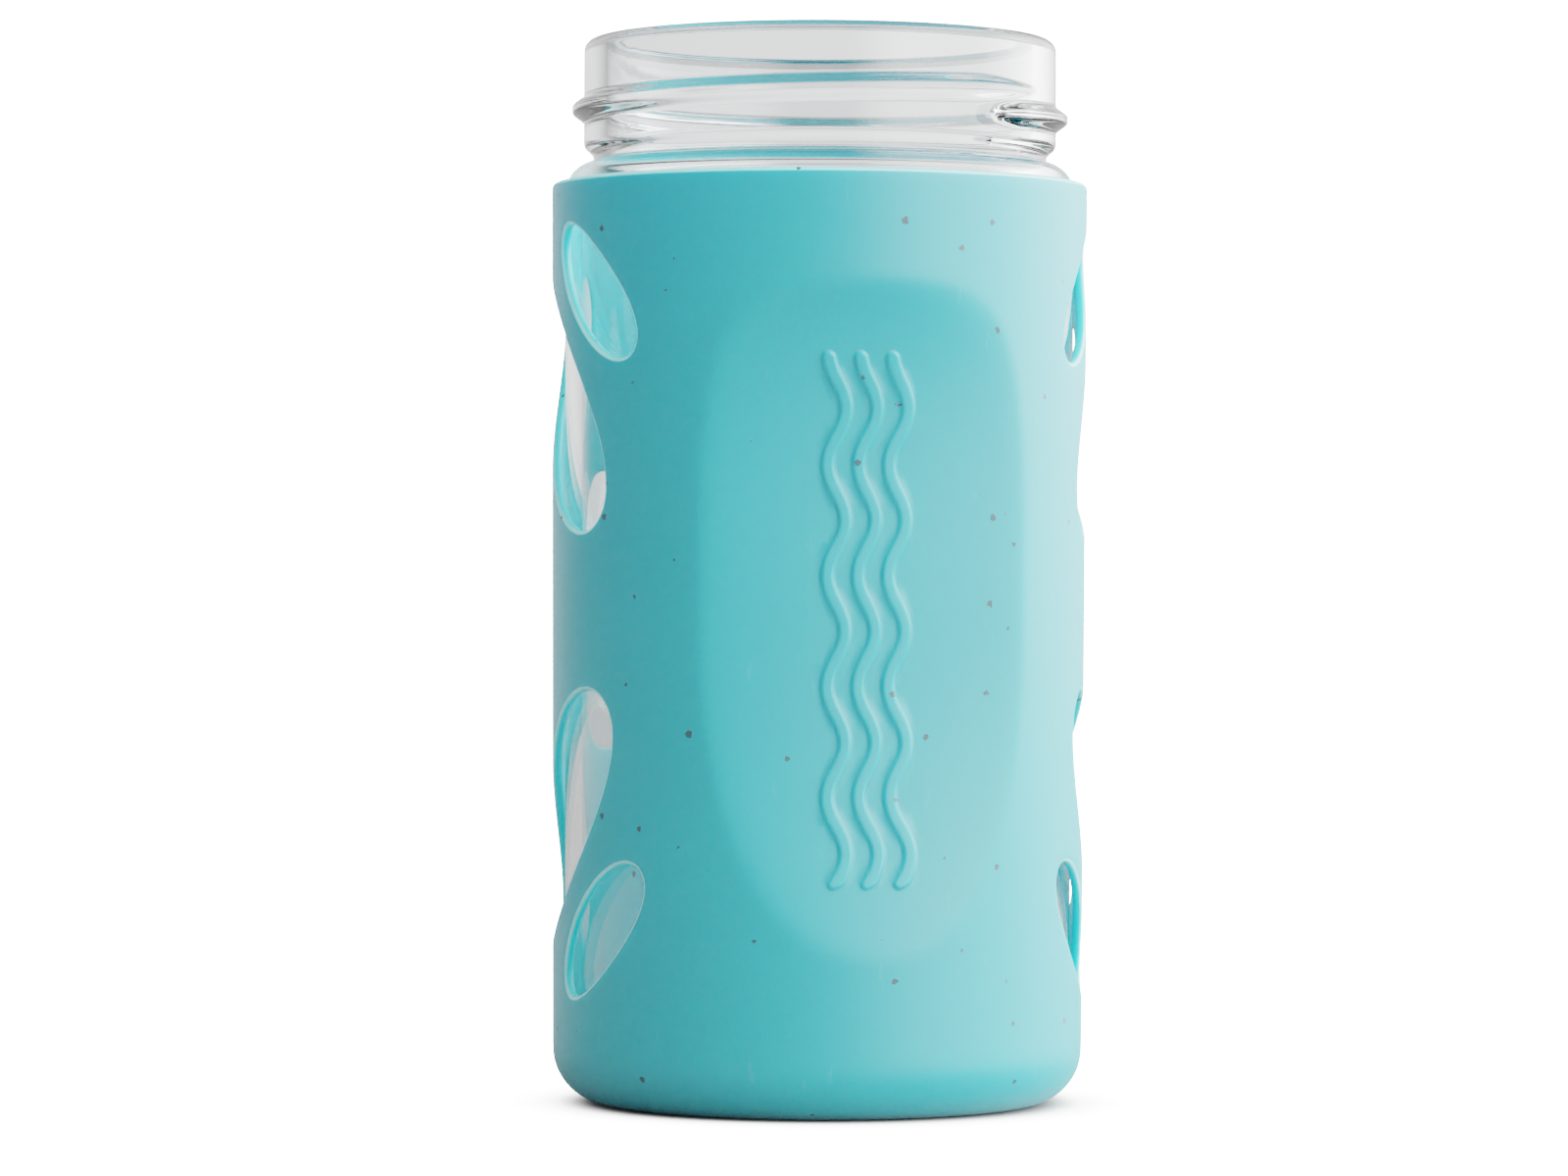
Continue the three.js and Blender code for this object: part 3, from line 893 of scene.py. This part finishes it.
@dataclass
class RippleRelief:
    """Three raised wavy lines up the middle of the grip flat, like ripples on water."""

    lines: int = 3
    spacing: float = 4.3
    swing: float = 1.25
    wave_length: float = 13.6
    stroke: float = 1.7
    edge: float = 0.3
    height: float = 0.35
    low_end: float = 29.5
    high_end: float = 93.5
    row_step: float = 0.5
    end_step: float = 0.16

    def phase(self, height: np.ndarray) -> np.ndarray:
        """The waves' phase at a height."""
        return (height - self.low_end) * 2 * math.pi / self.wave_length

    def places(self) -> np.ndarray:
        """Places along the wall that follow the lines, so that their edges come out crisp.

        Returns:
            Rows of distance along the wall and height.
        """
        half, soft = self.stroke / 2, self.edge
        offsets = [-half - 1.5 * soft, -half - soft / 2, -half, -half + soft / 2, -half + 1.5 * soft,
                   0.0, half - 1.5 * soft, half - soft / 2, half, half + soft / 2, half + 1.5 * soft]
        middles = (np.arange(self.lines) - (self.lines - 1) / 2) * self.spacing
        gaps = (middles[1:] + middles[:-1]) / 2
        columns = np.sort(np.concatenate([m + offsets for m in middles] + [gaps]))
        low, high, near = self.low_end, self.high_end, 1.0
        rows = np.concatenate((np.arange(low - 2, low + near, self.end_step),
                               np.arange(low + near, high - near, self.row_step),
                               np.arange(high - near, high + 2, self.end_step)))
        along = columns[None, :] + self.swing * np.sin(self.phase(rows))[:, None]
        return np.column_stack((along.ravel(), np.repeat(rows, len(columns))))

    def keep_out(self, places: np.ndarray, margin: float) -> np.ndarray:
        """Which places are in the strip that the relief's own rows fill.

        Args:
            places: Rows of distance along the wall and height.
            margin: How much wider the strip is than the relief.

        Returns:
            True for each place in the strip.
        """
        half = (self.lines - 1) / 2 * self.spacing + self.stroke / 2 + 1.5 * self.edge + margin
        off = np.abs(places[:, 0] - self.swing * np.sin(self.phase(places[:, 1])))
        rows = (places[:, 1] > self.low_end - 2 - margin) & (places[:, 1] < self.high_end + 2 + margin)
        return (off < half) & rows

    def tool(self, wall_radius: float) -> NodeTool:
        """The Geometry Nodes tree that raises the lines on the sleeve's outer skin.

        Args:
            wall_radius: The radius that distances along the wall are measured at.

        Returns:
            The finished tree.
        """
        lengths = {"Spacing": self.spacing, "Swing": self.swing, "Wave Length": self.wave_length,
                   "Stroke": self.stroke, "Edge": self.edge, "Height": self.height,
                   "Low End": self.low_end, "High End": self.high_end, "Wall Radius": wall_radius}
        made = NodeTool("ripple_relief", {
            "Last Line": float(self.lines - 1), **{k: v * MM for k, v in lengths.items()}})
        port, add = made.ports, made.add
        angle, _, height, outward = made.cylinder()
        pitch = add(MATH, 2 * math.pi, port["Wave Length"], operation="DIVIDE")
        phase = add(MATH, add(MATH, height, port["Low End"], operation="SUBTRACT"), pitch,
                    operation="MULTIPLY")
        sway = add(MATH, add(MATH, phase, operation="SINE"), port["Swing"], operation="MULTIPLY")
        across = add(MATH, add(MATH, angle, port["Wall Radius"], operation="MULTIPLY"), sway,
                     operation="SUBTRACT")
        half_lines = add(MATH, port["Last Line"], 0.5, operation="MULTIPLY")
        number = add(MATH,
                     add(MATH, add(MATH, across, port["Spacing"], operation="DIVIDE"), half_lines,
                         operation="ADD"),
                     operation="ROUND")
        number = add(MATH, add(MATH, number, 0.0, operation="MAXIMUM"), port["Last Line"],
                     operation="MINIMUM")
        line = add(MATH, add(MATH, number, half_lines, operation="SUBTRACT"), port["Spacing"],
                   operation="MULTIPLY")
        lean = add(MATH,
                   add(MATH, add(MATH, phase, operation="COSINE"), port["Swing"],
                       operation="MULTIPLY"),
                   pitch, operation="MULTIPLY")
        squeeze = add(MATH, add(MATH, lean, lean, 1.0, operation="MULTIPLY_ADD"), operation="SQRT")
        off_line = add(MATH, add(MATH, across, line, operation="SUBTRACT"), squeeze,
                       operation="DIVIDE")
        below = add(MATH, port["Low End"], height, operation="SUBTRACT")
        over = add(MATH, height, port["High End"], operation="SUBTRACT")
        past_end = add(MATH, add(MATH, below, over, operation="MAXIMUM"), 0.0, operation="MAXIMUM")
        away = add(MATH,
                   add(MATH, off_line, off_line, add(MATH, past_end, past_end, operation="MULTIPLY"),
                       operation="MULTIPLY_ADD"),
                   operation="SQRT")
        half = add(MATH, port["Stroke"], 0.5, operation="MULTIPLY")
        soft = add(MATH, port["Edge"], 0.5, operation="MULTIPLY")
        raised = add(RANGE, away, add(MATH, half, soft, operation="SUBTRACT"),
                     add(MATH, half, soft, operation="ADD"), 1.0, 0.0,
                     interpolation_type="SMOOTHSTEP")
        outer = add_node(made.tree, "GeometryNodeInputNamedAttribute", {"Name": "skin"},
                         data_type="FLOAT").outputs["Attribute"]
        amount = add(MATH, add(MATH, raised, port["Height"], operation="MULTIPLY"), outer,
                     operation="MULTIPLY")
        made.lift(outward, amount)
        return made


@dataclass
class SiliconeSleeve:
    """The sleeve: a soft cup with windows through its wall and rounded edges."""

    node: str = "silicone_sleeve"
    slot: str = "teal_silicone"
    sides: int = 264
    step: float = 0.95
    low_radius: float = 33.65
    edge_radius: float = 6.9
    floor_height: float = 2.0
    bore_top_radius: float = 32.7
    bore_low_radius: float = 32.4
    bore_corner_radius: float = 5.5
    recess_radius: float = 18.5
    recess_depth: float = 0.8
    wall_foot: float = 7.6
    rim_steps: int = 6
    window_middle: float = 62.5
    window_reach: float = 24.0  # farther than any window goes from its middle
    window_clearance: float = 0.55
    lower_shift: float = 1.3
    flat: GripFlat = field(default_factory=GripFlat)
    relief: RippleRelief = field(default_factory=RippleRelief)

    def __post_init__(self) -> None:
        """Takes the height and the top radius from the frame."""
        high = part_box(self.node)[1]
        self.top = high.z / MM
        self.top_radius = high.x / MM

    def windows(self) -> list[Window]:
        """Four leaves on each side, in rows that mirror each other, and an oval behind them.

        Returns:
            All ten windows.
        """
        found = []
        for side in (-1, 1):
            for row in (-1, 1):
                shift = self.lower_shift if row < 0 else 0.0
                found += [
                    Window(side * (40.5 - shift), self.window_middle + row * 39.8, 11.2, 4.6,
                           side * row * 43, 2.15, 84),
                    Window(side * (53 - shift), self.window_middle + row * 26.3, 20.4, 8.9,
                           side * row * 47, 2.15, 120),
                ]
            found.append(Window(side * 76.0, self.window_middle, 14.5, 18.0, 0.0, 2.7, 128))
        return found

    def radii(self, height: np.ndarray) -> tuple[np.ndarray, np.ndarray]:
        """The outer and the inner radius of the round wall at each height.

        Args:
            height: Heights above the foot.

        Returns:
            The outer radii and the inner radii.
        """
        share = height / self.top
        outer = self.low_radius + (self.top_radius - self.low_radius) * share
        inner = self.bore_low_radius + (self.bore_top_radius - self.bore_low_radius) * share
        return outer, inner

    def rim_offsets(self) -> tuple[np.ndarray, np.ndarray]:
        """Distances from an edge and the share of full thickness there, for a half-round edge.

        Returns:
            The distances and the shares.
        """
        half = (self.top_radius - self.bore_top_radius) / 2
        turns = np.linspace(0, math.pi / 2, self.rim_steps + 1)
        return half * (1 - np.cos(turns)), np.sin(turns)

    def flat_pattern(self) -> tuple[np.ndarray, np.ndarray, list[tuple[int, ...]]]:
        """Lays the wall out flat and fills it with triangles round its windows.

        Returns:
            Places as distance along the wall and height, the share of the wall's thickness
            at each, and the triangles.
        """
        half_girth = math.pi * self.flat.wall_radius
        offsets, shares = self.rim_offsets()
        places, fullness, edges = [], [], []

        def ring(loop: np.ndarray, share: float, closed: bool) -> None:
            """Adds a row of places with one thickness, and the edges that hold it.

            Args:
                loop: The row's places.
                share: Its share of the full thickness.
                closed: Whether its last place joins its first.
            """
            first = sum(len(p) for p in places)
            places.append(loop)
            fullness.append(np.full(len(loop), share))
            count = len(loop) if closed else len(loop) - 1
            edges.extend((first + i, first + (i + 1) % len(loop)) for i in range(count))

        windows = self.windows()
        for window in windows:
            for offset, share in zip(offsets, shares):
                ring(window.grown(offset), share, closed=True)
        columns = np.linspace(-half_girth, half_girth, self.sides + 1)
        for offset, share in zip(offsets, shares):
            ring(np.column_stack((columns, np.full_like(columns, self.top - offset))), share, False)
        ring(np.column_stack((columns, np.full_like(columns, self.wall_foot))), 1.0, False)
        rows = np.arange(self.wall_foot + self.step, self.top - offsets[-1] - self.step / 2, self.step)
        filling = []
        for number, row in enumerate(rows):
            shifted = number % 2 == 1
            line = (columns[:-1] + columns[1:]) / 2 if shifted else columns
            filling.append(np.column_stack((line, np.full_like(line, row))))
        filling = np.vstack(filling)
        filling = filling[~self.relief.keep_out(filling, self.step / 2)]
        filling = np.vstack((filling, self.relief.places()))
        for window in windows:
            near = np.linalg.norm(filling - (window.along, window.height), axis=1) < self.window_reach
            clear = np.ones(len(filling), bool)
            clear[near] = window.distance(filling[near]) > offsets[-1] + self.step * self.window_clearance
            filling = filling[clear]
        places.append(filling)
        fullness.append(np.ones(len(filling)))
        places = np.vstack(places)
        verts, _, tris, origins, _, _ = delaunay_2d_cdt(
            [Vector(p) for p in places], edges, [], 0, 1e-6)
        order = np.array([o[0] if o else -1 for o in origins])
        laid = np.array([tuple(v) for v in verts])
        fullness = np.where(order >= 0, np.concatenate(fullness)[order], 1.0)
        triangles = np.array([t for t in tris if len(t) == 3])
        middles = laid[triangles].mean(axis=1)
        solid = np.ones(len(triangles), bool)
        for window in windows:
            near = np.linalg.norm(middles - (window.along, window.height), axis=1) < self.window_reach
            solid[near] &= window.distance(middles[near]) > 0
        return laid, fullness, [tuple(t) for t in triangles[solid].tolist()]

    def wall(self) -> tuple[np.ndarray, list[tuple[int, ...]], dict[str, np.ndarray],
                            np.ndarray, np.ndarray]:
        """Wraps the flat pattern into a wall with two skins that meet at every edge.

        Returns:
            The points, the faces, each point's skin and rim share, and the foot rows of both
            skins.
        """
        laid, fullness, triangles = self.flat_pattern()
        half_girth = math.pi * self.flat.wall_radius
        right = np.flatnonzero(np.abs(laid[:, 0] - half_girth) < 1e-4)
        left = np.flatnonzero(np.abs(laid[:, 0] + half_girth) < 1e-4)
        merged = np.arange(len(laid))
        for point in right:
            merged[point] = left[np.argmin(np.abs(laid[left, 1] - laid[point, 1]))]
        angle = laid[:, 0] / self.flat.wall_radius
        outer, inner = self.radii(laid[:, 1])
        back = self.flat.set_back(angle, laid[:, 1])
        middle, half = (outer + inner) / 2 - back, (outer - inner) / 2
        outside = round_axis(middle + half * fullness, angle, laid[:, 1])
        inside = round_axis(middle - half * fullness, angle, laid[:, 1])
        count = len(laid)
        twin = np.where(fullness < 1e-6, merged, merged + count)
        faces = [tuple(merged[list(t)].tolist()) for t in triangles]
        faces += [tuple(twin[list(t)][::-1].tolist()) for t in triangles]
        foot = np.flatnonzero(np.abs(laid[:, 1] - self.wall_foot) < 1e-4)
        foot = foot[np.argsort(laid[foot, 0])][:-1]
        tags = {
            "skin": np.repeat([Skin.OUTER.value, Skin.INNER.value], count),
            "rim": np.tile(1 - fullness, 2),
        }
        return np.vstack((outside, inside)), faces, tags, foot, foot + count

    def base_outlines(self) -> tuple[np.ndarray, np.ndarray]:
        """The outlines under the foot, from the axis out, and inside, from the wall in.

        Returns:
            The two outlines, as rows of radius and height.
        """
        outer, inner = self.radii(np.array([self.wall_foot]))
        step = self.recess_radius + self.recess_depth
        under = np.vstack((
            run((0, self.recess_depth), (self.recess_radius, self.recess_depth), 3),
            arc((self.recess_radius, self.recess_depth - 0.2), 0.2, 90, 30, 3),
            arc((step, 0.2), 0.2, -150, -90, 3),
            run((step, 0), (self.low_radius - self.edge_radius, 0), 2),
            arc((self.low_radius - self.edge_radius, self.edge_radius), self.edge_radius, -90, 0, 14),
        ))
        corner = self.floor_height + self.bore_corner_radius
        floor_edge = inner[0] - self.bore_corner_radius
        inside = np.vstack((
            arc((floor_edge, corner), self.bore_corner_radius, 0, -90, 10),
            run((floor_edge, self.floor_height), (0, self.floor_height), 3),
        ))
        return under, inside

    def build(self, material: bpy.types.Material) -> bpy.types.Object:
        """Makes the sleeve, raises its relief and puts it on its body.

        Args:
            material: The silicone.

        Returns:
            The finished piece.
        """
        points, faces, tags, foot, foot_inside = self.wall()
        angles = np.arctan2(points[foot, 0], -points[foot, 1])
        under, inside = self.base_outlines()
        first = len(points)
        points = np.vstack((points, lathe_rings(under, angles), lathe_rings(inside, angles),
                            [[0, 0, self.recess_depth], [0, 0, self.floor_height]]))
        side = len(foot)
        rings = list((first + np.arange(len(under) * side)).reshape(-1, side))
        start = first + len(under) * side
        inner_rings = list((start + np.arange(len(inside) * side)).reshape(-1, side))
        faces += ring_faces([*rings, foot]) + ring_faces([foot_inside, *inner_rings])
        faces += cap_faces(rings[0], len(points) - 2, ends=False)
        faces += cap_faces(inner_rings[-1], len(points) - 1, ends=True)
        piece = make_piece("sleeve_silicone", points, faces)
        for name, values in tags.items():
            tag = piece.data.attributes.new(name, "FLOAT", "POINT")
            foot_value = Skin.OUTER.value if name == "skin" else 0.0
            padded = np.concatenate((values, np.full(len(points) - len(values), foot_value)))
            tag.data.foreach_set("value", padded.astype(np.float32))
        self.relief.tool(self.flat.wall_radius).bake(piece, material)
        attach(piece, Body.SLEEVE.value)
        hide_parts(self.node)
        return piece


# ---- studio -------------------------------------------------------------------------


@dataclass(frozen=True)
class Glow:
    """A large soft light far off in the sky, with an edge that fades.

    Inner and outer are the angles from its middle, in degrees, where it starts to fade and
    where it ends.
    """

    azimuth: float
    elevation: float
    inner: float
    outer: float
    strength: float

    def level(self, tree: bpy.types.NodeTree, direction: bpy.types.NodeSocket) -> bpy.types.NodeSocket:
        """How bright the glow is in each direction.

        Args:
            tree: The world's tree.
            direction: The socket that holds the direction.

        Returns:
            The socket that holds its strength.
        """
        turn, tilt = math.radians(self.azimuth), math.radians(self.elevation)
        middle = (math.sin(turn) * math.cos(tilt), -math.cos(turn) * math.cos(tilt), math.sin(tilt))
        facing = add_node(tree, "ShaderNodeVectorMath", {0: direction, 1: middle},
                          operation="DOT_PRODUCT")
        return add_node(tree, RANGE, {
            "Value": facing.outputs["Value"], "From Min": math.cos(math.radians(self.outer)),
            "From Max": math.cos(math.radians(self.inner)), "To Max": self.strength},
            interpolation_type="SMOOTHSTEP").outputs["Result"]


@dataclass
class Studio:
    """A white sweep, soft light from the right, and the camera."""

    camera_azimuth: float = -11.5
    camera_height: float = 65.4
    camera_distance: float = 750.0
    camera_yaw: float = 0.335
    camera_roll: float = 0.19
    lens: float = 135.0
    floor_radius: float = 3.0
    floor_gap: float = 0.05
    floor_sides: int = 96
    floor_colour: str = "a0a0a0"
    # painted shadow: how far and how hard the contact shadow painted into the floor's glow reaches
    painted_shadow_reach: float = 14.0
    painted_shadow_hardness: float = 3.0
    room: float = 0.06
    white: float = 30.0  # what the camera itself sees of the sweep
    lights: tuple[Glow, ...] = (
        Glow(66, 8, 31, 64, 7.8),  # the key, from the right
        Glow(114, 0, 8, 42, 4.2),  # its spill behind the right side
        Glow(166, 0, 24, 58, 1.75),  # the lit sweep behind the bottle
        Glow(-20, 20, 10, 65, 0.34),  # the fill, from the front left
        Glow(0, 90, 20, 75, 1.2),  # the ceiling
    )

    def build(self) -> None:
        """Makes the floor, the sky and the camera."""
        self._floor()
        self._sky()
        self._camera()
        bpy.context.scene.view_settings.view_transform = "Filmic"

    def _floor(self) -> None:
        """A round plain pale floor, just under the foot, which the camera sees glowing white with a painted
        contact shadow round the foot.
        """
        sides = self.floor_sides
        angles = np.arange(sides) * 2 * math.pi / sides
        points = round_axis(np.full(sides, self.floor_radius / MM), angles,
                            np.full(sides, -self.floor_gap))
        floor = make_piece("studio_floor", points, [tuple(range(sides))])
        material = bpy.data.materials.new("painted_sweep_matt")
        material.use_nodes = True
        tree = material.node_tree
        tree.nodes.clear()
        matt = add_node(tree, "ShaderNodeBsdfDiffuse", {"Color": linear(self.floor_colour)})
        # painted shadow: the camera-only glow is dimmed where ambient occlusion finds the foot near
        painted_shadow_ao = add_node(tree, "ShaderNodeAmbientOcclusion", {"Distance": self.painted_shadow_reach * MM})
        painted_shadow_fall = add_node(tree, MATH, {0: painted_shadow_ao.outputs["AO"], 1: self.painted_shadow_hardness},
                        operation="POWER")
        strength = add_node(tree, MATH, {0: painted_shadow_fall.outputs[0], 1: self.white},
                            operation="MULTIPLY")
        glow = add_node(tree, "ShaderNodeEmission", {"Strength": strength.outputs[0]})
        seen = add_node(tree, "ShaderNodeLightPath").outputs["Is Camera Ray"]
        lit = add_node(tree, "ShaderNodeAddShader", {0: matt.outputs[0], 1: glow.outputs[0]})
        mixed = add_node(tree, "ShaderNodeMixShader", {0: seen, 1: matt.outputs[0], 2: lit.outputs[0]})
        add_node(tree, "ShaderNodeOutputMaterial", {"Surface": mixed.outputs[0]})
        floor.data.materials.append(material)

    def _sky(self) -> None:
        """A dim room with soft glows, which looks plain white to the camera itself."""
        world = bpy.data.worlds.new("studio_sweep")
        world.use_nodes = True
        tree = world.node_tree
        tree.nodes.clear()
        direction = add_node(tree, "ShaderNodeTexCoord").outputs["Generated"]
        level = self.room
        for light in self.lights:
            level = add_node(tree, MATH, {0: level, 1: light.level(tree, direction)},
                             operation="ADD").outputs["Value"]
        seen = add_node(tree, "ShaderNodeLightPath").outputs["Is Camera Ray"]
        strength = add_node(tree, MATH, {0: seen, 1: self.white, 2: level},
                            operation="MULTIPLY_ADD")
        sky = add_node(tree, "ShaderNodeBackground", {
            "Color": (1, 1, 1, 1), "Strength": strength.outputs["Value"]})
        add_node(tree, "ShaderNodeOutputWorld", {"Surface": sky.outputs["Background"]})
        bpy.context.scene.world = world

    def _camera(self) -> None:
        """A long lens at the height of the bottle's middle."""
        lens = bpy.data.cameras.new("camera")
        lens.lens = self.lens
        lens.sensor_width = 36.0
        camera = bpy.data.objects.new("camera", lens)
        turn = math.radians(self.camera_azimuth)
        reach = self.camera_distance * MM
        place = Vector((math.sin(turn) * reach, -math.cos(turn) * reach, self.camera_height * MM))
        level = Matrix.Rotation(turn + math.radians(self.camera_yaw), 4, "Z") @ Matrix.Rotation(
            math.pi / 2, 4, "X") @ Matrix.Rotation(math.radians(self.camera_roll), 4, "Z")
        camera.matrix_world = Matrix.Translation(place) @ level
        bpy.context.scene.collection.objects.link(camera)
        bpy.context.scene.camera = camera


# ---- the whole ----------------------------------------------------------------------


def main() -> None:
    """Builds both pieces and the studio, and reports each piece."""
    logging.basicConfig(level=logging.INFO, format="%(name)s: %(message)s")
    pieces = [
        GlassBottle().build(ClearGlass().build()),
        SiliconeSleeve().build(MouldedSilicone().build()),
    ]
    Studio().build()
    for piece in pieces:
        LOG.info("%s: %d faces, %s", piece.name, len(piece.data.polygons),
                 piece.data.materials[0].name)


if __name__ == "__main__":
    main()
